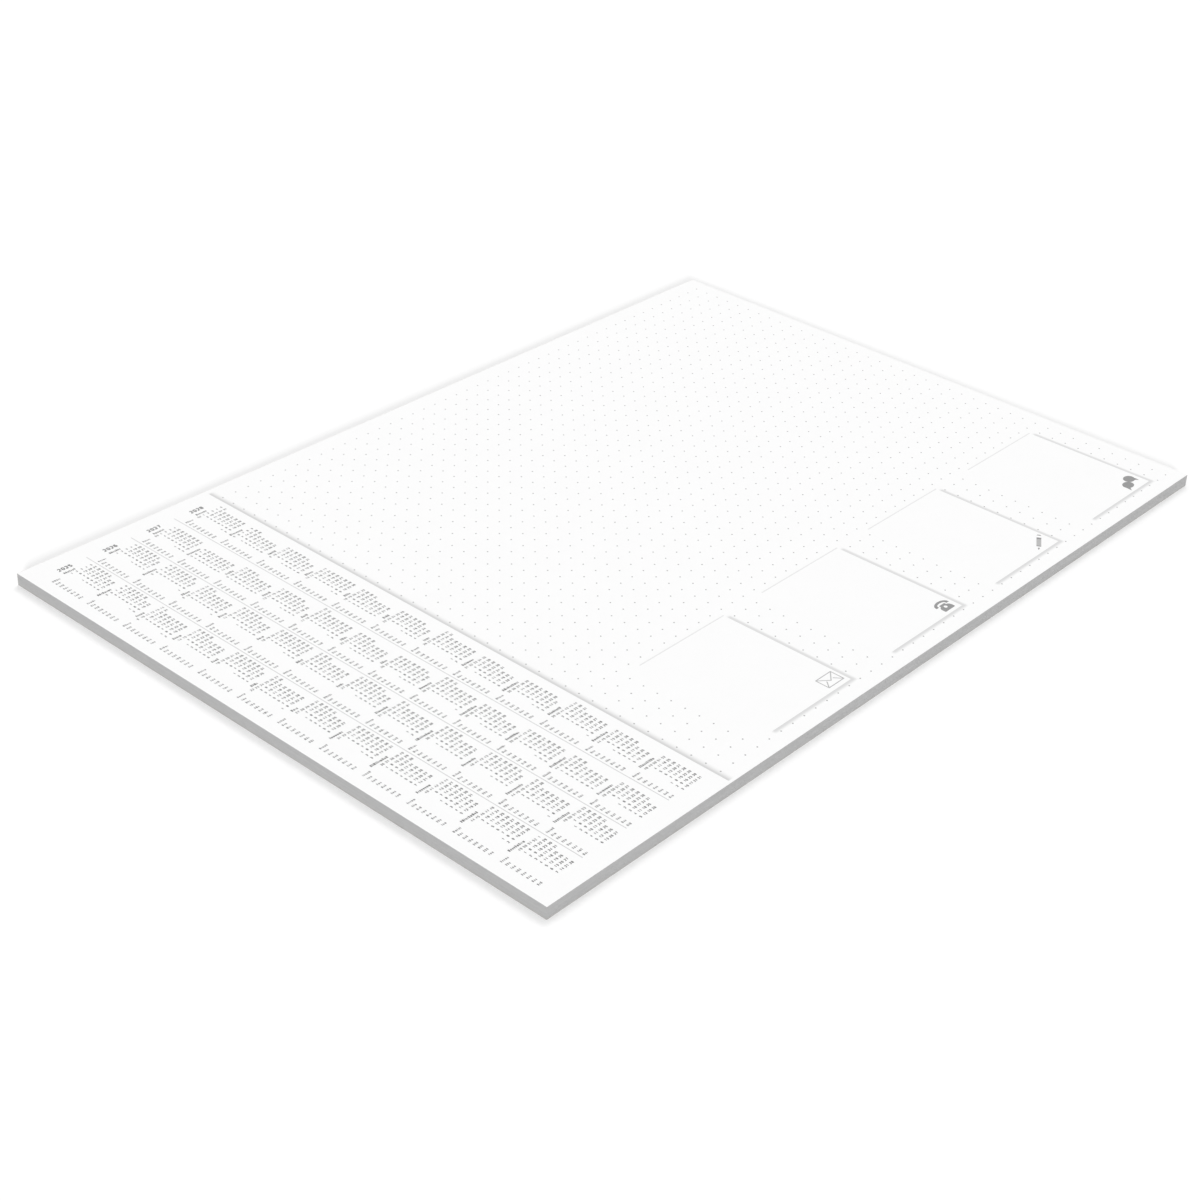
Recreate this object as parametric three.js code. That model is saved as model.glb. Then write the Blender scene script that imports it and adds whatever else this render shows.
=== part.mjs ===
// Desk pad calendar: a block of cut sheets on a backing board, held by a film of glue
// along the head edge. The sheets tear off one by one from the top.
//
// Units are millimetres. X runs along the long side in reading direction, Y runs
// towards the head of the page, Z is up. The origin is the middle of the underside.

import * as THREE from "three";

// Sheets
const sheetWidth = 600;
const sheetDepth = 420;
const sheetThickness = 0.1;
const sheetCount = 70;

// Backing board, cut together with the sheets
const boardThickness = 1;

// Film of glue brushed onto the head edge
const glueThickness = 0.5;
const glueEdgeThickness = 0.15;
const glueEdgeHeight = 1.2;
const glueCurveSteps = 8;

const stackThickness = sheetThickness * sheetCount;
const padThickness = boardThickness + stackThickness;
const headEdgeY = (sheetDepth - glueThickness) / 2;
const footEdgeY = headEdgeY - sheetDepth;

const paper = new THREE.MeshStandardMaterial({ color: 0xf7f7f6, roughness: 0.85, metalness: 0 });
const greyboard = new THREE.MeshStandardMaterial({ color: 0xa9a69f, roughness: 0.9, metalness: 0 });
const glue = new THREE.MeshStandardMaterial({ color: 0xe9e7df, roughness: 0.5, metalness: 0 });

const pad = new THREE.Group();

function addPiece(name, geometry, material) {
  const piece = new THREE.Mesh(geometry, material);
  piece.name = name;
  pad.add(piece);
}

// The outline that the guillotine leaves, the same for the sheets and the board
function trimmedOutline() {
  return new THREE.Shape([
    new THREE.Vector2(-sheetWidth / 2, footEdgeY),
    new THREE.Vector2(sheetWidth / 2, footEdgeY),
    new THREE.Vector2(sheetWidth / 2, headEdgeY),
    new THREE.Vector2(-sheetWidth / 2, headEdgeY),
  ]);
}

function trimmedSlab(bottomZ, thickness) {
  const slab = new THREE.ExtrudeGeometry(trimmedOutline(), { depth: thickness, bevelEnabled: false });
  return slab.translate(0, 0, bottomZ);
}

// Section of the glue film, its flat back on the head edge: it is full in the middle
// and thins in a curve towards the top sheet and towards the underside
function glueSection() {
  const outerY = headEdgeY + glueThickness;
  const thinY = headEdgeY + glueEdgeThickness;
  const section = new THREE.Shape();
  section.moveTo(headEdgeY, 0);
  section.lineTo(thinY, 0);
  section.quadraticCurveTo(outerY, 0, outerY, glueEdgeHeight);
  section.lineTo(outerY, padThickness - glueEdgeHeight);
  section.quadraticCurveTo(outerY, padThickness, thinY, padThickness);
  section.lineTo(headEdgeY, padThickness);
  section.closePath();
  return section;
}

// The section is drawn in Y and Z and swept along X
function glueFilm() {
  const film = new THREE.ExtrudeGeometry(glueSection(), {
    depth: sheetWidth,
    curveSegments: glueCurveSteps,
    bevelEnabled: false,
  });
  const acrossY = new THREE.Vector3(0, 1, 0);
  const upZ = new THREE.Vector3(0, 0, 1);
  const alongX = new THREE.Vector3(1, 0, 0);
  film.applyMatrix4(new THREE.Matrix4().makeBasis(acrossY, upZ, alongX));
  return film.translate(-sheetWidth / 2, 0, 0);
}

addPiece("backing_board", trimmedSlab(0, boardThickness), greyboard);
addPiece("sheet_block", trimmedSlab(boardThickness, stackThickness), paper);
addPiece("glue_strip", glueFilm(), glue);

export default pad;
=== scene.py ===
# Desk pad calendar: the look of a glued pad of printed sheets on its board. Metres, Z up.

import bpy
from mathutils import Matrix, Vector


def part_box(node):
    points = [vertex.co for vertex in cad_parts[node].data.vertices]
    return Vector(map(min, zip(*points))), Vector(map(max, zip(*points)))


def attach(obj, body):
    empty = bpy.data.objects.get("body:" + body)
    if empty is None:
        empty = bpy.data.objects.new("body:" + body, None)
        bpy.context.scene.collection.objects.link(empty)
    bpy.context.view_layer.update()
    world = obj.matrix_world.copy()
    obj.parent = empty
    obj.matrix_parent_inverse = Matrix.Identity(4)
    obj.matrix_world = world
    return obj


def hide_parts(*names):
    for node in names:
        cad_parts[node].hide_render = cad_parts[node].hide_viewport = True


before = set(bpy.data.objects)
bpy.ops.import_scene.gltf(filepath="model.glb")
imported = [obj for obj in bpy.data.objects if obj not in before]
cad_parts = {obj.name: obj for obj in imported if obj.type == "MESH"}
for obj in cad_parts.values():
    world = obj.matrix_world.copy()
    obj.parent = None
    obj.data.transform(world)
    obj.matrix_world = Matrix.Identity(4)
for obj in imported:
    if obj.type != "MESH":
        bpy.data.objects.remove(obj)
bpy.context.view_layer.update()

import calendar
import datetime
import math
import random

import bpy
from mathutils import Matrix, Vector

block_low, block_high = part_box("sheet_block")
board_low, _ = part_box("backing_board")

MM = 0.001
PAGE_DEPTH = (block_high.y - block_low.y) / MM

# Heights of the print: tints lie on the paper and the ink lies over them
PRINT_LAYER = 0.02 * MM
INK_TOP = block_high.z
TINT_TOP = INK_TOP - PRINT_LAYER
PAPER_TOP = TINT_TOP - PRINT_LAYER
PRINT_BOTTOM = PAPER_TOP - PRINT_LAYER
STROKE_STEP = 0.002 * MM

# The stack of sheets
SHEET_COUNT = 70
SHEET_FACE_SHARE = 0.72
SHEET_INSET_MOST = 0.09 * MM
SHEET_GROOVE = 0.05 * MM
SHEET_WAVE = 0.02 * MM
SIDE_STEP = 15 * MM
STACK_SEED = 4

# Greys of paper, board and print, as they would be written in a picture (0 to 255)
PAPER_GREY = 250
# The cut edges are the same paper darkened by painted shade, standing in for the shade on the stack's sides
# and between its sheets
PAPER_EDGE_GREY_WITH_PAINTED_SHADE = 190
BOARD_GREY = 182
INK_GREY = 143
HEAD_INK_GREY = 116
NUMBER_INK_GREY = 114
SIGN_INK_GREY = 148
LINE_ART_GREY = 184
DOT_GREY = 168
RULE_GREY = 206
FAINT_RULE_GREY = 229
SHADOW_GREY = 210
NOTE_SHADOW_GREY = 219

# Calendar strip, in page millimetres from the lower left corner
YEARS = (2025, 2026, 2027, 2028)
YEARS_SET_RIGHT = (2025, 2026)
YEAR_CENTRE_U = 22.8
YEAR_PITCH = 32.0
YEAR_CENTRE_V = PAGE_DEPTH - 14.0
YEAR_LABEL_HEIGHT = 3.15
YEAR_LABEL_WIDTH = 9.5
YEAR_LABEL_STROKE = 0.68
MONTH_CENTRE_V = PAGE_DEPTH - 18.7
MONTH_PITCH = 32.66
MONTH_NAME_WIDTHS = (8.1, 9.7, 6.0, 6.0, 4.8, 4.8, 4.6, 8.9, 12.2, 9.8, 11.8, 11.4)
MONTH_NAME_HEIGHT = 1.75
LETTER_PITCH = 1.2
HEADER_DROP = 3.1
FIRST_DAY_DROP = 6.6
DAY_PITCH_V = 3.52
WEEK_SLOTS = 6
FIRST_SLOT_U = -4.05
SLOT_PITCH = 3.37
LABEL_LEFT_U = -14.2
WEEK_LABEL_WIDTH = 5.6
DAY_LABEL_WIDTH = 3.3
LABEL_HEIGHT = 1.5
LETTER_WIDTHS = (0.7, 1.0, 1.0, 1.25)
LETTER_GAP = 0.45
NUMBER_HEIGHT = 1.66
NUMERAL_WIDTH = 1.02
NUMBER_STROKE = 0.39
NUMERAL_SIZE = (NUMERAL_WIDTH, NUMBER_HEIGHT, NUMBER_STROKE)
NUMERAL_GAP_SHARE = 0.26
LETTER_SEED = 11

# Rules between the years, and the printed shadow beside the calendar strip
RULE_FIRST_U = 38.75
RULE_WIDTH = 0.5
RULE_LOW_V = 13
RULE_HIGH_V = 407
DIVIDER_U = 136.5
DIVIDER_WIDTH = 5.0
DIVIDER_CORE = 0.8
DIVIDER_FALLOFF = 1.7
DIVIDER_STEP = 0.25
DIVIDER_LOW_V = 1.5
DIVIDER_HIGH_V = 417

# Grid of dots
DOT_COLUMNS = 46
DOT_ROWS = 41
DOT_FIRST = (139.9, 10.0)
DOT_PITCH = (9.985, 9.918)
DOT_RADIUS = 0.5
DOT_SIDES = 10

# Note panels: the left edge of each, and what they share
NOTE_LEFTS = (183.2, 290.4, 394.0, 501.8)
NOTE_WIDTH = 72.4
NOTE_LOW_V = 13.3
NOTE_HIGH_V = 104.45
NOTE_SHADOW_WIDTH = 3.6
NOTE_SHADOW_START = (1.8, 1.65)
NOTE_SHADOW_RAMP = 3
NOTE_SHADOW_CORE = 0.9
NOTE_SHADOW_STEP = 0.3
NOTE_RAMP_STEP = 0.5
NOTE_RULE_WIDTH = 0.9

# How far the dots keep off a note on its left, right, lower and upper side
DOT_CLEARANCE = (4, 3, 3, 2)

# Signs in the corners of the notes
ENVELOPE_BOX = (240.2, 16.5, 253.4, 25.8)
ENVELOPE_LINE = 0.62
ENVELOPE_FLAP_SHARE = 0.4
ENVELOPE_FOLD_SHARE = 0.3
ENVELOPE_FOLD_RISE = 0.9
TELEPHONE_FOOT = (354.8, 15.7)
TELEPHONE_DIAL_HEIGHT = 3.5
TELEPHONE_DIAL_RADIUS = 1.2
PENCIL_TIP = (449.1, 16.3)
PENCIL_END = (464.4, 26.0)
PENCIL_HALF_WIDTH = 1.45
BUBBLE_TAIL_SPREAD = 22
LEFT_BUBBLE = ((559.9, 20.2), (4.4, 3.5), 218, (555.3, 14.9))
RIGHT_BUBBLE = ((567.2, 24.0), (4.3, 3.6), 312, (571.1, 19.0))

# Camera, fitted to the four corners of the page
CAMERA_PLACE = (-0.8860, -0.7493, 0.6808)
CAMERA_AZIMUTH = 49.55
CAMERA_ELEVATION = 32.19
CAMERA_ROLL = 2.61
CAMERA_LENS = 65.9
CAMERA_SENSOR = 36.0
CAMERA_SHIFT_X = -0.0207
CAMERA_SHIFT_Y = 0.0004

# Light: an overcast sky, a low lamp from the camera's side and a high one from behind. Each lamp
# is given by the direction that it shines to, its height, its width (in degrees) and its strength
SKY_AT_HORIZON = 0.6
SKY_OVERHEAD = 0.71
LOW_LAMP = (46, 17, 11, 2.05)
HIGH_LAMP = (238, 56, 25, 0.64)
FLOOR_SEEN = 0.93
FLOOR_LIFT = 0.09
FLOOR_BOUNCE = 0.5
FLOOR_HALF_WIDTH = 20


def linear(level):
    """The light value of a grey that a picture writes as level, 0 to 255."""
    share = level / 255
    return share / 12.92 if share <= 0.04045 else ((share + 0.055) / 1.055) ** 2.4


def tone(level, warmth=0.0):
    """A nearly neutral colour; warmth lowers the blue."""
    value = linear(level)
    return (value, value * (1 - warmth / 3), value * (1 - warmth), 1)


def page_point(u, v, z):
    """The place of a page point, given in millimetres from the page's lower left corner."""
    return (block_low.x + u * MM, block_low.y + v * MM, z)


def add_piece(name, points, faces, materials, face_material=None):
    mesh = bpy.data.meshes.new(name)
    mesh.from_pydata(points, [], faces)
    for made in materials:
        mesh.materials.append(made)
    if face_material:
        mesh.polygons.foreach_set("material_index", face_material)
    mesh.validate()
    mesh.update()
    piece = bpy.data.objects.new(name, mesh)
    bpy.context.scene.collection.objects.link(piece)
    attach(piece, "root")
    return piece


# Materials

def new_material(name, roughness, specular=0.3):
    made = bpy.data.materials.new(name)
    made.use_nodes = True
    shader = made.node_tree.nodes["Principled BSDF"]
    shader.inputs["Roughness"].default_value = roughness
    shader.inputs["Specular IOR Level"].default_value = specular
    return made, made.node_tree, shader


def place_nodes(tree, stretch):
    """The object's own coordinates in metres, stretched on each axis: about so many blotches a metre."""
    where = tree.nodes.new("ShaderNodeTexCoord")
    mapping = tree.nodes.new("ShaderNodeMapping")
    mapping.inputs["Scale"].default_value = stretch
    tree.links.new(where.outputs["Object"], mapping.inputs["Vector"])
    return mapping.outputs["Vector"]


def noise_value(tree, stretch, detail=3.0, roughness=0.6):
    noise = tree.nodes.new("ShaderNodeTexNoise")
    noise.inputs["Scale"].default_value = 1.0
    noise.inputs["Detail"].default_value = detail
    noise.inputs["Roughness"].default_value = roughness
    tree.links.new(place_nodes(tree, stretch), noise.inputs["Vector"])
    return noise.outputs["Fac"]


def ramp_colour(tree, value, stops):
    ramp = tree.nodes.new("ShaderNodeValToRGB")
    points = ramp.color_ramp.elements
    while len(points) < len(stops):
        points.new(0.5)
    for point, (position, colour) in zip(points, stops):
        point.position = position
        point.color = colour
    tree.links.new(value, ramp.inputs["Fac"])
    return ramp.outputs["Color"]


def blend_colours(tree, share, first, second, mode="MIX"):
    mix = tree.nodes.new("ShaderNodeMix")
    mix.data_type = "RGBA"
    mix.blend_type = mode
    if isinstance(share, float):
        mix.inputs["Factor"].default_value = share
    else:
        tree.links.new(share, mix.inputs["Factor"])
    for socket, colour in ((mix.inputs["A"], first), (mix.inputs["B"], second)):
        if isinstance(colour, tuple):
            socket.default_value = colour
        else:
            tree.links.new(colour, socket)
    return mix.outputs["Result"]


def add_relief(tree, shader, value, strength, distance):
    bump = tree.nodes.new("ShaderNodeBump")
    bump.inputs["Strength"].default_value = strength
    bump.inputs["Distance"].default_value = distance
    tree.links.new(value, bump.inputs["Height"])
    tree.links.new(bump.outputs["Normal"], shader.inputs["Normal"])


def fibre_colour(tree, level, spread, warmth=0.0):
    """Paper tone with a soft cloudiness and fine fibres, spread levels from dark to light."""
    cloud = noise_value(tree, (60, 60, 60), 4.0)
    fibres = noise_value(tree, (2600, 900, 2600), 5.0, 0.7)
    clouded = ramp_colour(
        tree, cloud, ((0.3, tone(level - spread, warmth)), (0.7, tone(level, warmth)))
    )
    veil = ramp_colour(tree, fibres, ((0.35, (0.985, 0.985, 0.985, 1)), (0.6, (1, 1, 1, 1))))
    return blend_colours(tree, 1.0, clouded, veil, "MULTIPLY"), fibres


def page_material():
    made, tree, shader = new_material("page_paper", 0.78, 0.25)
    colour, fibres = fibre_colour(tree, PAPER_GREY, 1.0)
    tree.links.new(colour, shader.inputs["Base Color"])
    add_relief(tree, shader, fibres, 0.25, 0.00001)
    return made


def edge_material():
    """The cut edges of the stack, the paper darkened by painted shade for the sides and the gaps between
    sheets: each sheet a little lighter or darker than the next.
    """
    made, tree, shader = new_material("cut_edge_paper_painted_shade", 0.9, 0.15)
    sheets = noise_value(tree, (9, 9, 9000), 2.0)
    streaks = noise_value(tree, (160, 160, 700), 4.0, 0.65)
    # Painted shade: the edge grey lies well below the page's grey, with a random tone for each sheet on top
    sheet_tone_and_painted_shade = ramp_colour(
        tree, sheets, ((0.3, tone(PAPER_EDGE_GREY_WITH_PAINTED_SHADE - 9)), (0.7, tone(PAPER_EDGE_GREY_WITH_PAINTED_SHADE + 5)))
    )
    streak_tone = ramp_colour(tree, streaks, ((0.3, (0.95, 0.95, 0.95, 1)), (0.62, (1, 1, 1, 1))))
    colour = blend_colours(tree, 1.0, sheet_tone_and_painted_shade, streak_tone, "MULTIPLY")
    tree.links.new(colour, shader.inputs["Base Color"])
    add_relief(tree, shader, streaks, 0.4, 0.00003)
    return made


def board_material():
    """Grey pulp board: mottled, with darker and lighter flecks of recycled fibre."""
    made, tree, shader = new_material("grey_pulp_board", 0.92, 0.15)
    mottle = noise_value(tree, (90, 90, 400), 5.0, 0.65)
    flecks = noise_value(tree, (900, 420, 900), 3.0, 0.55)
    ground = ramp_colour(
        tree, mottle, ((0.3, tone(BOARD_GREY - 10, 0.04)), (0.7, tone(BOARD_GREY + 6, 0.03)))
    )
    fleck_tone = ramp_colour(
        tree,
        flecks,
        (
            (0.28, (0.62, 0.6, 0.57, 1)),
            (0.36, (1, 1, 1, 1)),
            (0.68, (1, 1, 1, 1)),
            (0.76, (1.12, 1.12, 1.12, 1)),
        ),
    )
    colour = blend_colours(tree, 1.0, ground, fleck_tone, "MULTIPLY")
    tree.links.new(colour, shader.inputs["Base Color"])
    add_relief(tree, shader, mottle, 0.5, 0.00008)
    return made


def glue_material():
    """Dried padding glue: milky, a little glossy, with brush streaks along the edge."""
    made, tree, shader = new_material("padding_glue", 0.42, 0.5)
    streaks = noise_value(tree, (25, 25, 1400), 4.0, 0.6)
    colour = ramp_colour(tree, streaks, ((0.3, tone(214, 0.05)), (0.7, tone(232, 0.04))))
    tree.links.new(colour, shader.inputs["Base Color"])
    shader.inputs["Coat Weight"].default_value = 0.25
    shader.inputs["Coat Roughness"].default_value = 0.3
    add_relief(tree, shader, streaks, 0.6, 0.00008)
    return made


def ink_material(name, level):
    """Matt printing ink, slightly uneven where the paper's grain shows through."""
    made, tree, shader = new_material(name, 0.7, 0.25)
    grain = noise_value(tree, (1800, 1800, 1800), 4.0, 0.7)
    colour = ramp_colour(tree, grain, ((0.3, tone(level - 5)), (0.72, tone(level + 7))))
    tree.links.new(colour, shader.inputs["Base Color"])
    add_relief(tree, shader, grain, 0.2, 0.00001)
    return made


def tint_material(name, level):
    """A printed shadow that fades from its own grey to the paper, by the shade of each point."""
    made, tree, shader = new_material(name, 0.78, 0.25)
    paper, fibres = fibre_colour(tree, PAPER_GREY, 1.0)
    shade = tree.nodes.new("ShaderNodeAttribute")
    shade.attribute_name = "shade"
    colour = blend_colours(tree, shade.outputs["Fac"], paper, tone(level))
    tree.links.new(colour, shader.inputs["Base Color"])
    add_relief(tree, shader, fibres, 0.25, 0.00001)
    return made


# The stack of sheets

def perimeter():
    """Points round the page, corners included, as (x, y) with the outward direction of each."""
    corners = [
        (block_low.x, block_low.y),
        (block_high.x, block_low.y),
        (block_high.x, block_high.y),
        (block_low.x, block_high.y),
    ]
    outward = ((0, -1), (1, 0), (0, 1), (-1, 0))
    points = []
    for side, (x0, y0) in enumerate(corners):
        x1, y1 = corners[(side + 1) % 4]
        steps = round(math.dist((x0, y0), (x1, y1)) / SIDE_STEP)
        before, here = outward[side - 1], outward[side]
        points.append((x0, y0, before[0] + here[0], before[1] + here[1]))
        for step in range(1, steps):
            share = step / steps
            points.append((x0 + (x1 - x0) * share, y0 + (y1 - y0) * share, *here))
    return points


def sheet_ring(base, inset, waves, z):
    """One loop round the stack, pulled in by inset and a slow wave along each side."""
    ring = []
    for x, y, out_x, out_y in base:
        wave = sum(math.sin(turn * (x + 1.7 * y) + phase) for turn, phase in waves)
        pulled = inset + SHEET_WAVE * (1 + wave / len(waves)) / 2
        ring.append((x - out_x * pulled, y - out_y * pulled, z))
    return ring


def stack_rings(base, rng):
    """Loops from the board up to the page: each sheet has a flat edge, with a groove over it."""
    step = (PAPER_TOP - block_low.z) / SHEET_COUNT
    rings = []
    for sheet in range(SHEET_COUNT):
        inset = SHEET_INSET_MOST * rng.random() ** 2
        waves = [(rng.uniform(4, 30), rng.uniform(0, math.tau)) for _ in range(3)]
        if sheet == SHEET_COUNT - 1:
            inset = 0.0
        low = block_low.z + step * sheet
        rings.append(sheet_ring(base, inset, waves, low))
        rings.append(sheet_ring(base, inset, waves, low + step * SHEET_FACE_SHARE))
        if sheet < SHEET_COUNT - 1:
            middle = low + step * (1 + SHEET_FACE_SHARE) / 2
            rings.append(sheet_ring(base, inset + SHEET_GROOVE, waves, middle))
    rings.append(sheet_ring(base, 0.0, waves, PAPER_TOP))
    return rings


def make_stack(page, edge):
    base = perimeter()
    rings = stack_rings(base, random.Random(STACK_SEED))
    around = len(base)
    points = [point for ring in rings for point in ring]
    last = len(points) - around
    faces = [list(range(around - 1, -1, -1)), list(range(last, last + around))]
    kinds = [1, 0]
    for level in range(len(rings) - 1):
        for i in range(around):
            j = (i + 1) % around
            low, high = level * around, (level + 1) * around
            faces.append((low + i, low + j, high + j, high + i))
            kinds.append(1)
    return add_piece("sheet_stack", points, faces, (page, edge), kinds)


# Shapes of the print

def signed_area(outline):
    following = outline[1:] + outline[:1]
    return sum(u0 * v1 - u1 * v0 for (u0, v0), (u1, v1) in zip(outline, following)) / 2


def corner_offsets(path, half, closed):
    """The points on both sides of a path, half a stroke away, with mitred corners."""
    left, right = [], []
    last = len(path) - 1
    for i, (u, v) in enumerate(path):
        ways = []
        if closed or i > 0:
            ways.append((Vector((u, v)) - Vector(path[i - 1])).normalized())
        if closed or i < last:
            ways.append((Vector(path[(i + 1) % len(path)]) - Vector((u, v))).normalized())
        along = sum(ways, Vector((0, 0))).normalized()
        reach = half / max(0.5, along.dot(ways[0]))
        left.append((u - along.y * reach, v + along.x * reach))
        right.append((u + along.y * reach, v - along.x * reach))
    return left, right


class Print:
    """Closed thin shapes on the page, gathered into one mesh. Outlines are in page millimetres."""

    def __init__(self, top=INK_TOP):
        self.top = top
        self.points = []
        self.faces = []

    def add_outline(self, outline, z):
        start = len(self.points)
        self.points += [page_point(u, v, z) for u, v in outline]
        return start

    def slab(self, outline, sink=0.0):
        """A flat shape; sink lowers its top a trace where it crosses another one."""
        if signed_area(outline) < 0:
            outline = outline[::-1]
        count = len(outline)
        low = self.add_outline(outline, PRINT_BOTTOM)
        high = self.add_outline(outline, self.top - sink)
        self.faces.append(list(range(high, high + count)))
        self.faces.append(list(range(low + count - 1, low - 1, -1)))
        for i in range(count):
            j = (i + 1) % count
            self.faces.append((low + i, low + j, high + j, high + i))

    def ring(self, outer, inner, sink=0.0):
        """A band between two outlines that have as many points as each other."""
        if signed_area(outer) < 0:
            outer, inner = outer[::-1], inner[::-1]
        count = len(outer)
        out_low = self.add_outline(outer, PRINT_BOTTOM)
        out_high = self.add_outline(outer, self.top - sink)
        in_low = self.add_outline(inner, PRINT_BOTTOM)
        in_high = self.add_outline(inner, self.top - sink)
        for i in range(count):
            j = (i + 1) % count
            self.faces.append((out_high + i, out_high + j, in_high + j, in_high + i))
            self.faces.append((out_low + j, out_low + i, in_low + i, in_low + j))
            self.faces.append((out_low + i, out_low + j, out_high + j, out_high + i))
            self.faces.append((in_low + j, in_low + i, in_high + i, in_high + j))

    def stroke(self, path, width, closed=False, sink=0.0):
        left, right = corner_offsets(path, width / 2, closed)
        if closed:
            inner, outer = sorted((left, right), key=lambda outline: abs(signed_area(outline)))
            self.ring(outer, inner, sink)
        else:
            self.slab(left + right[::-1], sink)

    def finish(self, name, made):
        return add_piece(name, self.points, self.faces, (made,))


def rectangle(u0, v0, u1, v1):
    return [(u0, v0), (u1, v0), (u1, v1), (u0, v1)]


def arc_points(centre, radii, start, end, steps):
    """Points on an arc of an ellipse, from one angle to another (degrees)."""
    turns = [math.radians(start + (end - start) * i / steps) for i in range(steps + 1)]
    return [(centre[0] + radii[0] * math.cos(t), centre[1] + radii[1] * math.sin(t)) for t in turns]


def rounded_box(u0, v0, u1, v1, radius, steps=3):
    """A rectangle with round corners."""
    corners = ((u1 - radius, v0 + radius), (u1 - radius, v1 - radius))
    corners += ((u0 + radius, v1 - radius), (u0 + radius, v0 + radius))
    outline = []
    for turn, corner in enumerate(corners):
        outline += arc_points(corner, (radius, radius), 90 * turn - 90, 90 * turn, steps)
    return outline


# Plain numerals, drawn as strokes in a unit cell. A path that is marked True closes on itself
LOOP = [(0.3, 0), (0.7, 0), (1, 0.2), (1, 0.8), (0.7, 1), (0.3, 1), (0, 0.8), (0, 0.2)]
LOW_LOOP = [(u, v * 0.6) for u, v in LOOP]
HIGH_LOOP = [(u, 0.4 + v * 0.6) for u, v in LOOP]
FIVE = [(0.95, 1), (0.1, 1), (0.05, 0.56), (0.7, 0.62), (1, 0.44), (1, 0.2), (0.7, 0)]
FIVE += [(0.25, 0), (0, 0.14)]
NUMERALS = {
    "0": [(LOOP, True)],
    "1": [([(0.12, 0.76), (0.6, 1), (0.6, 0)], False)],
    "2": [([(0, 0.8), (0.25, 1), (0.75, 1), (1, 0.8), (1, 0.62), (0, 0), (1, 0)], False)],
    "3": [
        ([(0, 0.85), (0.25, 1), (0.75, 1), (1, 0.84), (1, 0.66), (0.75, 0.52), (0.35, 0.52)], False),
        ([(0.75, 0.52), (1, 0.38), (1, 0.16), (0.75, 0), (0.25, 0), (0, 0.15)], False),
    ],
    "4": [([(0.75, 0), (0.75, 1), (0, 0.28)], False), ([(0, 0.28), (1, 0.28)], False)],
    "5": [(FIVE, False)],
    "6": [(LOW_LOOP, True), ([(0, 0.4), (0, 0.76), (0.3, 1), (0.9, 1)], False)],
    "7": [([(0, 1), (1, 1), (0.4, 0)], False)],
    "8": [
        ([(0.05 + u * 0.9, 0.54 + v * 0.46) for u, v in LOOP], True),
        ([(u, v * 0.54) for u, v in LOOP], True),
    ],
    "9": [(HIGH_LOOP, True), ([(1, 0.6), (1, 0.24), (0.7, 0), (0.1, 0)], False)],
}


def draw_number(layer, text, centre_u, centre_v, width, height, stroke):
    """Numerals of one width set side by side, the group centred on a point."""
    pitch = width * (1 + NUMERAL_GAP_SHARE)
    left = centre_u - (pitch * (len(text) - 1) + width) / 2
    low = centre_v - height / 2
    for place, figure in enumerate(text):
        corner_u = left + place * pitch + stroke / 2
        for turn, (path, closed) in enumerate(NUMERALS[figure]):
            scaled = [
                (corner_u + u * (width - stroke), low + stroke / 2 + v * (height - stroke)) for u, v in path
            ]
            layer.stroke(scaled, stroke, closed, turn * STROKE_STEP)


def draw_word(layer, left, centre_v, width, height, rng):
    """A word shown by plain blocks, one for each letter, some taller or wider than the rest."""
    letters = max(2, round(width / LETTER_PITCH))
    shares = [rng.choice(LETTER_WIDTHS) for _ in range(letters)]
    pitch = width / sum(shares)
    low = centre_v - height / 2
    u0 = left
    for letter, share in enumerate(shares):
        tall = letter == 0 or rng.random() < 0.3
        top = low + height * (1.0 if tall else 0.76)
        block_width = pitch * share - LETTER_GAP
        layer.slab(rounded_box(u0, low, u0 + block_width, top, 0.15, 1))
        u0 += pitch * share


# Calendar strip

def month_weeks(year, month):
    """The month's weeks, Monday first, with 0 for a day of another month."""
    return calendar.Calendar().monthdayscalendar(year, month)


def week_number(year, month, week):
    first_day = next(day for day in week if day)
    return datetime.date(year, month, first_day).isocalendar()[1]


def draw_month(ink, year, month, centre_u, rng):
    name_v = MONTH_CENTRE_V - (month - 1) * MONTH_PITCH
    name_width = MONTH_NAME_WIDTHS[month - 1]
    draw_word(ink["heads"], centre_u - name_width / 2, name_v, name_width, MONTH_NAME_HEIGHT, rng)
    label_left = centre_u + LABEL_LEFT_U
    header_v = name_v - HEADER_DROP
    draw_word(ink["labels"], label_left, header_v, WEEK_LABEL_WIDTH, LABEL_HEIGHT, rng)
    for row in range(7):
        row_v = name_v - FIRST_DAY_DROP - row * DAY_PITCH_V
        draw_word(ink["labels"], label_left, row_v, DAY_LABEL_WIDTH, LABEL_HEIGHT, rng)
    weeks = month_weeks(year, month)
    first_slot = WEEK_SLOTS - len(weeks) if year in YEARS_SET_RIGHT else 0
    for column, week in enumerate(weeks):
        slot_u = centre_u + FIRST_SLOT_U + (first_slot + column) * SLOT_PITCH
        number = str(week_number(year, month, week))
        draw_number(ink["labels"], number, slot_u, header_v, *NUMERAL_SIZE)
        for row, day in enumerate(week):
            row_v = name_v - FIRST_DAY_DROP - row * DAY_PITCH_V
            if day:
                draw_number(ink["days"], str(day), slot_u, row_v, *NUMERAL_SIZE)


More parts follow.
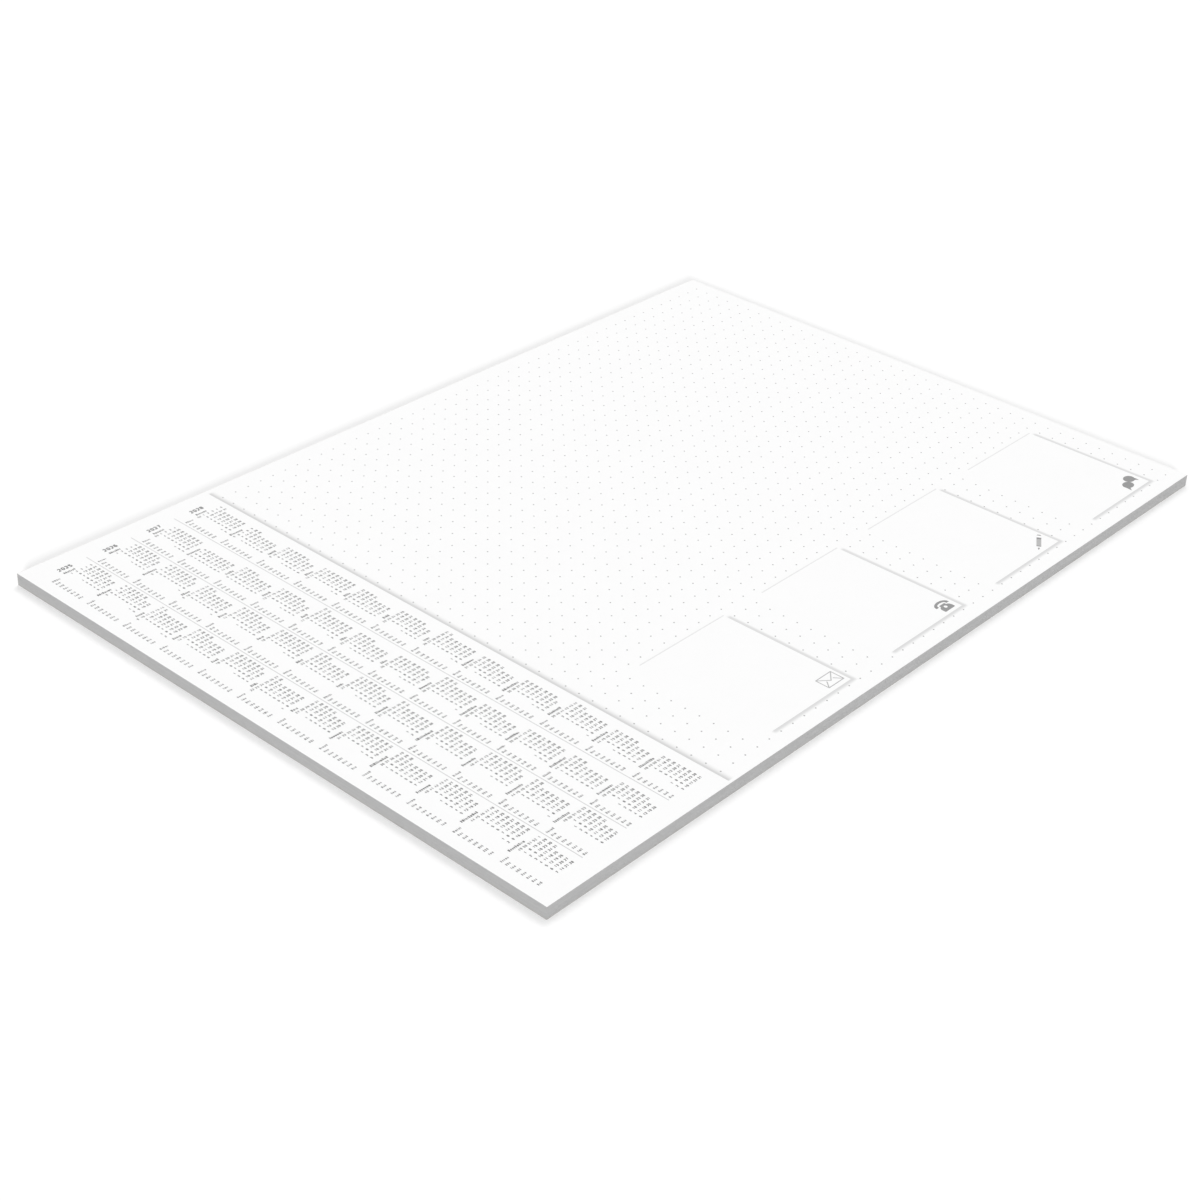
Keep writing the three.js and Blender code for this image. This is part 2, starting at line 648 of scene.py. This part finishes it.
def make_calendar(inks):
    """One piece for each year and ink: heads, labels (with the week numbers) and days."""
    rng = random.Random(LETTER_SEED)
    figure_width = YEAR_LABEL_WIDTH / (4 + 3 * NUMERAL_GAP_SHARE)
    for place, year in enumerate(YEARS):
        centre_u = YEAR_CENTRE_U + place * YEAR_PITCH
        ink = {kind: Print() for kind in inks}
        label_size = (figure_width, YEAR_LABEL_HEIGHT, YEAR_LABEL_STROKE)
        draw_number(ink["heads"], str(year), centre_u, YEAR_CENTRE_V, *label_size)
        for month in range(1, 13):
            draw_month(ink, year, month, centre_u, rng)
        for kind, made in inks.items():
            ink[kind].finish(f"year_{place + 1}_{kind}", made)


def make_rules(made):
    rules = Print()
    for place in range(len(YEARS) - 1):
        u = RULE_FIRST_U + place * YEAR_PITCH
        rules.slab(rectangle(u - RULE_WIDTH / 2, RULE_LOW_V, u + RULE_WIDTH / 2, RULE_HIGH_V))
    rules.finish("year_rules", made)


# Printed shadows

def smooth(value):
    value = min(1.0, max(0.0, value))
    return value * value * (3 - 2 * value)


def steps_between(start, end, step):
    count = max(1, math.ceil((end - start) / step))
    return [start + (end - start) * i / count for i in range(count + 1)]


def shade_grid(us, vs, shade_of):
    """A closed thin slab over a grid of page points, with the shade of each point."""
    points, shades, faces = [], [], []
    rows, columns = len(vs), len(us)
    for z in (PRINT_BOTTOM, TINT_TOP):
        for v in vs:
            for u in us:
                points.append(page_point(u, v, z))
                shades.append(shade_of(u, v))
    over = rows * columns
    for row in range(rows - 1):
        for column in range(columns - 1):
            a = row * columns + column
            b = a + columns
            faces.append((over + a, over + a + 1, over + b + 1, over + b))
            faces.append((a, b, b + 1, a + 1))
    rim = list(range(columns)) + [r * columns + columns - 1 for r in range(1, rows)]
    rim += list(range(rows * columns - 2, (rows - 1) * columns - 1, -1))
    rim += [r * columns for r in range(rows - 2, 0, -1)]
    for a, b in zip(rim, rim[1:] + rim[:1]):
        faces.append((a, b, over + b, over + a))
    return points, faces, shades


def add_shade(name, parts, made):
    """One piece out of several grids, with the attribute that the tint fades by."""
    points, faces, shades = [], [], []
    for part_points, part_faces, part_shades in parts:
        start = len(points)
        points += part_points
        shades += part_shades
        faces += [tuple(start + i for i in face) for face in part_faces]
    piece = add_piece(name, points, faces, (made,))
    values = piece.data.attributes.new("shade", "FLOAT", "POINT")
    values.data.foreach_set("value", shades)


def make_divider(made):
    """The soft shadow line between the calendar strip and the dots, darkest on its left."""
    us = steps_between(DIVIDER_U, DIVIDER_U + DIVIDER_WIDTH, DIVIDER_STEP)
    vs = [DIVIDER_LOW_V] + steps_between(DIVIDER_LOW_V + 1, DIVIDER_HIGH_V - 3, 40)
    vs += [DIVIDER_HIGH_V - 2, DIVIDER_HIGH_V - 1, DIVIDER_HIGH_V]

    def shade_of(u, v):
        across = min(1.0, (DIVIDER_U + DIVIDER_WIDTH - u) / (DIVIDER_WIDTH - DIVIDER_CORE))
        ends = smooth((DIVIDER_HIGH_V - v) / 2) * smooth(v - DIVIDER_LOW_V)
        return across ** DIVIDER_FALLOFF * ends

    add_shade("calendar_shadow", [shade_grid(us, vs, shade_of)], made)


def make_note_shadow(place, left, made):
    """The L-shaped shadow that a note panel throws to its right and below it."""
    right, low, high = left + NOTE_WIDTH, NOTE_LOW_V, NOTE_HIGH_V
    reach = NOTE_SHADOW_WIDTH
    start_u, start_v = left + NOTE_SHADOW_START[0], high - NOTE_SHADOW_START[1]
    ramp = NOTE_SHADOW_RAMP

    def shade_of(u, v):
        side = smooth((right + reach - u) / (reach - NOTE_SHADOW_CORE))
        foot = smooth((v - low + reach) / (reach - NOTE_SHADOW_CORE))
        begin = smooth((u - start_u) / ramp) * smooth((start_v - v) / ramp)
        return side * foot * begin

    fine_u = steps_between(right, right + reach, NOTE_SHADOW_STEP)
    fine_v = steps_between(low - reach, low, NOTE_SHADOW_STEP)
    side_v = fine_v + [low + 20, low + 45, high - 20]
    side_v += steps_between(start_v - ramp, start_v, NOTE_RAMP_STEP)
    foot_u = steps_between(start_u, start_u + ramp, NOTE_RAMP_STEP) + [left + 30, right - 20, right]
    parts = [shade_grid(fine_u, side_v, shade_of), shade_grid(foot_u, fine_v, shade_of)]
    add_shade(f"note_{place}_shadow", parts, made)


def make_note_rules(made):
    rules = Print()
    for left in NOTE_LEFTS:
        top = NOTE_HIGH_V
        rules.slab(rectangle(left, top - NOTE_RULE_WIDTH, left + NOTE_WIDTH, top))
    rules.finish("note_top_rules", made)


# Grid of dots

def on_a_note(u, v):
    to_left, to_right, below, above = DOT_CLEARANCE
    if not NOTE_LOW_V - below < v < NOTE_HIGH_V + above:
        return False
    return any(left - to_left < u < left + NOTE_WIDTH + to_right for left in NOTE_LEFTS)


def make_dots(made):
    dots = Print()
    for column in range(DOT_COLUMNS):
        for row in range(DOT_ROWS):
            u = DOT_FIRST[0] + column * DOT_PITCH[0]
            v = DOT_FIRST[1] + row * DOT_PITCH[1]
            if not on_a_note(u, v):
                dots.slab(arc_points((u, v), (DOT_RADIUS, DOT_RADIUS), 0, 360, DOT_SIDES)[:-1])
    dots.finish("dot_grid", made)


# Signs in the corners of the notes, each a plain shape of its own kind

def make_envelope(made):
    left, low, right, high = ENVELOPE_BOX
    line = ENVELOPE_LINE
    middle, flap = (left + right) / 2, low + ENVELOPE_FLAP_SHARE * (high - low)
    sign = Print()
    sign.stroke(rectangle(left, low, right, high), line, True)
    inset = line / 2
    flap_line = [(left + inset, high - inset), (middle, flap), (right - inset, high - inset)]
    sign.stroke(flap_line, line, sink=STROKE_STEP)
    fold, fold_v = ENVELOPE_FOLD_SHARE * (right - left), flap + ENVELOPE_FOLD_RISE
    sign.stroke([(left + inset, low + inset), (left + fold, fold_v)], line, sink=2 * STROKE_STEP)
    sign.stroke([(right - inset, low + inset), (right - fold, fold_v)], line, sink=2 * STROKE_STEP)
    sign.finish("sign_envelope", made)


def make_telephone(made):
    """A desk telephone: body with a round dial left open, and a handset over it."""
    centre, base = TELEPHONE_FOOT
    dial = Vector((0, TELEPHONE_DIAL_HEIGHT))
    side = arc_points((4.0, 0.8), (0.8, 0.8), -90, 0, 3) + arc_points((2.6, 2.2), (2.1, 2.7), 10, 90, 5)
    right = side + [(2.5, 6.4), (1.2, 6.4)]
    body = right + [(0, 6.4)] + [(-u, v) for u, v in reversed(right)]
    body += [(-2.6, 0), (-0.9, 0), (0.9, 0), (2.6, 0)]
    hole = [dial + (Vector(point) - dial).normalized() * TELEPHONE_DIAL_RADIUS for point in body]
    handset = [(6.1, 5.5)] + arc_points((0, 5.9), (6.1, 3.8), 15, 165, 14) + [(-6.1, 5.5)]
    handset += [(-3.8, 5.5)] + arc_points((0, 6.3), (3.7, 1.7), 165, 15, 10) + [(3.8, 5.5)]
    sign = Print()
    sign.ring([(centre + u, base + v) for u, v in body], [(centre + u, base + v) for u, v in hole])
    sign.slab([(centre + u, base + v) for u, v in handset])
    sign.finish("sign_telephone", made)


def make_pencil(dark, light):
    """A pencil on the slant, drawn along its own line: point, collar, shaft, band and cap."""
    tip, end = Vector(PENCIL_TIP), Vector(PENCIL_END)
    along = (end - tip).normalized()
    across = Vector((-along.y, along.x))
    length = (end - tip).length
    half = PENCIL_HALF_WIDTH

    def outline(start, stop, half_start, half_stop):
        pairs = ((start, -half_start), (stop, -half_stop), (stop, half_stop), (start, half_start))
        return [tuple(tip + along * distance + across * offset) for distance, offset in pairs]

    bands = Print()
    bands.slab(outline(0, 2.3, 0.15, 0.7))
    bands.slab(outline(3.9, 5.0, half, half))
    bands.slab(outline(length - 5.6, length - 3.4, half, half))
    bands.slab(outline(length - 1.0, length, half, 0.9))
    bands.finish("sign_pencil_bands", dark)
    shaft = Print()
    shaft.slab(outline(5.2, length - 5.8, half, half))
    shaft.finish("sign_pencil_shaft", light)


def bubble(centre, radii, tail_turn, tail):
    """An ellipse with a pointed tail, which stands in for the arc round tail_turn (degrees)."""
    start, end = tail_turn + BUBBLE_TAIL_SPREAD, tail_turn + 360 - BUBBLE_TAIL_SPREAD
    return [tail] + arc_points(centre, radii, start, end, 20)


def make_bubbles(made):
    """Two speech bubbles side by side, each with its tail."""
    sign = Print()
    sign.slab(bubble(*LEFT_BUBBLE))
    sign.slab(bubble(*RIGHT_BUBBLE))
    sign.finish("sign_bubbles", made)


# The whole pad

def make_pad():
    page, edge = page_material(), edge_material()
    stack = make_stack(page, edge)
    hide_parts("sheet_block")
    sign_ink = ink_material("sign_ink", SIGN_INK_GREY)
    light_ink = ink_material("light_ink", LINE_ART_GREY)
    make_calendar({
        "heads": ink_material("head_ink", HEAD_INK_GREY),
        "labels": ink_material("plain_ink", INK_GREY),
        "days": ink_material("number_ink", NUMBER_INK_GREY),
    })
    make_rules(ink_material("rule_ink", RULE_GREY))
    make_divider(tint_material("calendar_shadow_tint", SHADOW_GREY))
    note_tint = tint_material("note_shadow_tint", NOTE_SHADOW_GREY)
    for place, left in enumerate(NOTE_LEFTS, 1):
        make_note_shadow(place, left, note_tint)
    make_note_rules(ink_material("faint_ink", FAINT_RULE_GREY))
    make_dots(ink_material("dot_ink", DOT_GREY))
    make_envelope(light_ink)
    make_telephone(sign_ink)
    make_pencil(sign_ink, light_ink)
    make_bubbles(sign_ink)


def dress_node(node, made):
    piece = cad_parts[node]
    piece.data.materials.clear()
    piece.data.materials.append(made)


# Stage

def floor_material():
    """White to the eye with the pad's soft shadow, and a plain grey for the light it throws back."""
    made = bpy.data.materials.new("studio_floor")
    made.use_nodes = True
    tree = made.node_tree
    tree.nodes.clear()
    seen = tree.nodes.new("ShaderNodeBsdfDiffuse")
    seen.inputs["Color"].default_value = (FLOOR_SEEN, FLOOR_SEEN, FLOOR_SEEN, 1)
    lift = tree.nodes.new("ShaderNodeEmission")
    lift.inputs["Color"].default_value = (1, 1, 1, 1)
    lift.inputs["Strength"].default_value = FLOOR_LIFT
    shown = tree.nodes.new("ShaderNodeAddShader")
    tree.links.new(seen.outputs["BSDF"], shown.inputs[0])
    tree.links.new(lift.outputs["Emission"], shown.inputs[1])
    lighting = tree.nodes.new("ShaderNodeBsdfDiffuse")
    lighting.inputs["Color"].default_value = (FLOOR_BOUNCE, FLOOR_BOUNCE, FLOOR_BOUNCE, 1)
    mix = tree.nodes.new("ShaderNodeMixShader")
    tree.links.new(backdrop_rays(tree), mix.inputs["Fac"])
    tree.links.new(lighting.outputs["BSDF"], mix.inputs[1])
    tree.links.new(shown.outputs["Shader"], mix.inputs[2])
    out = tree.nodes.new("ShaderNodeOutputMaterial")
    tree.links.new(mix.outputs["Shader"], out.inputs["Surface"])
    return made


def backdrop_rays(tree):
    """1 for rays of the camera, and for those that metal or glass sends on."""
    path = tree.nodes.new("ShaderNodeLightPath")
    total = path.outputs["Is Camera Ray"]
    for name in ("Is Glossy Ray", "Is Transmission Ray"):
        add = tree.nodes.new("ShaderNodeMath")
        add.operation = "ADD"
        add.use_clamp = True
        tree.links.new(total, add.inputs[0])
        tree.links.new(path.outputs[name], add.inputs[1])
        total = add.outputs["Value"]
    return total


def make_floor():
    half = FLOOR_HALF_WIDTH
    corners = [(-half, -half, 0), (half, -half, 0), (half, half, 0), (-half, half, 0)]
    mesh = bpy.data.meshes.new("studio_floor")
    mesh.from_pydata(corners, [], [(0, 1, 2, 3)])
    mesh.materials.append(floor_material())
    floor = bpy.data.objects.new("studio_floor", mesh)
    bpy.context.scene.collection.objects.link(floor)
    floor.location.z = board_low.z


def make_sky():
    """An even overcast sky that is brighter overhead, and plain white where it is seen."""
    world = bpy.data.worlds.new("studio")
    bpy.context.scene.world = world
    world.use_nodes = True
    tree = world.node_tree
    tree.nodes.clear()
    where = tree.nodes.new("ShaderNodeTexCoord")
    split = tree.nodes.new("ShaderNodeSeparateXYZ")
    tree.links.new(where.outputs["Generated"], split.inputs["Vector"])
    height = tree.nodes.new("ShaderNodeMapRange")
    height.inputs["From Min"].default_value = 0.0
    height.inputs["From Max"].default_value = 1.0
    height.inputs["To Min"].default_value = SKY_AT_HORIZON
    height.inputs["To Max"].default_value = SKY_OVERHEAD
    tree.links.new(split.outputs["Z"], height.inputs["Value"])
    light = tree.nodes.new("ShaderNodeBackground")
    light.inputs["Color"].default_value = (1, 1, 1, 1)
    tree.links.new(height.outputs["Result"], light.inputs["Strength"])
    white = tree.nodes.new("ShaderNodeBackground")
    white.inputs["Color"].default_value = (1, 1, 1, 1)
    white.inputs["Strength"].default_value = 1.0
    mix = tree.nodes.new("ShaderNodeMixShader")
    tree.links.new(backdrop_rays(tree), mix.inputs["Fac"])
    tree.links.new(light.outputs["Background"], mix.inputs[1])
    tree.links.new(white.outputs["Background"], mix.inputs[2])
    out = tree.nodes.new("ShaderNodeOutputWorld")
    tree.links.new(mix.outputs["Shader"], out.inputs["Surface"])


def aim(azimuth, elevation):
    """The level direction across the view and the forward one, for angles in degrees."""
    flat = math.cos(math.radians(elevation))
    turn = math.radians(azimuth)
    forward = Vector((math.sin(turn) * flat, math.cos(turn) * flat, -math.sin(math.radians(elevation))))
    return forward.cross(Vector((0, 0, 1))).normalized(), forward


def make_lamp(name, azimuth, elevation, width, strength):
    level, forward = aim(azimuth, elevation)
    data = bpy.data.lights.new(name, "SUN")
    data.energy = strength
    data.angle = math.radians(width)
    lamp = bpy.data.objects.new(name, data)
    lamp.matrix_world = Matrix((level, level.cross(forward), -forward)).transposed().to_4x4()
    bpy.context.scene.collection.objects.link(lamp)


def make_camera():
    level, forward = aim(CAMERA_AZIMUTH, CAMERA_ELEVATION)
    roll = math.radians(CAMERA_ROLL)
    right = math.cos(roll) * level + math.sin(roll) * level.cross(forward)
    up = right.cross(forward)
    data = bpy.data.cameras.new("camera")
    data.lens = CAMERA_LENS
    data.sensor_width = CAMERA_SENSOR
    data.shift_x = CAMERA_SHIFT_X
    data.shift_y = CAMERA_SHIFT_Y
    camera = bpy.data.objects.new("camera", data)
    turned = Matrix((right, up, -forward)).transposed().to_4x4()
    camera.matrix_world = Matrix.Translation(CAMERA_PLACE) @ turned
    bpy.context.scene.collection.objects.link(camera)
    bpy.context.scene.camera = camera


make_camera()
make_sky()
make_lamp("low_lamp", *LOW_LAMP)
make_lamp("high_lamp", *HIGH_LAMP)
make_floor()
make_pad()
dress_node("backing_board", board_material())
dress_node("glue_strip", glue_material())
bpy.context.scene.view_settings.view_transform = "Standard"
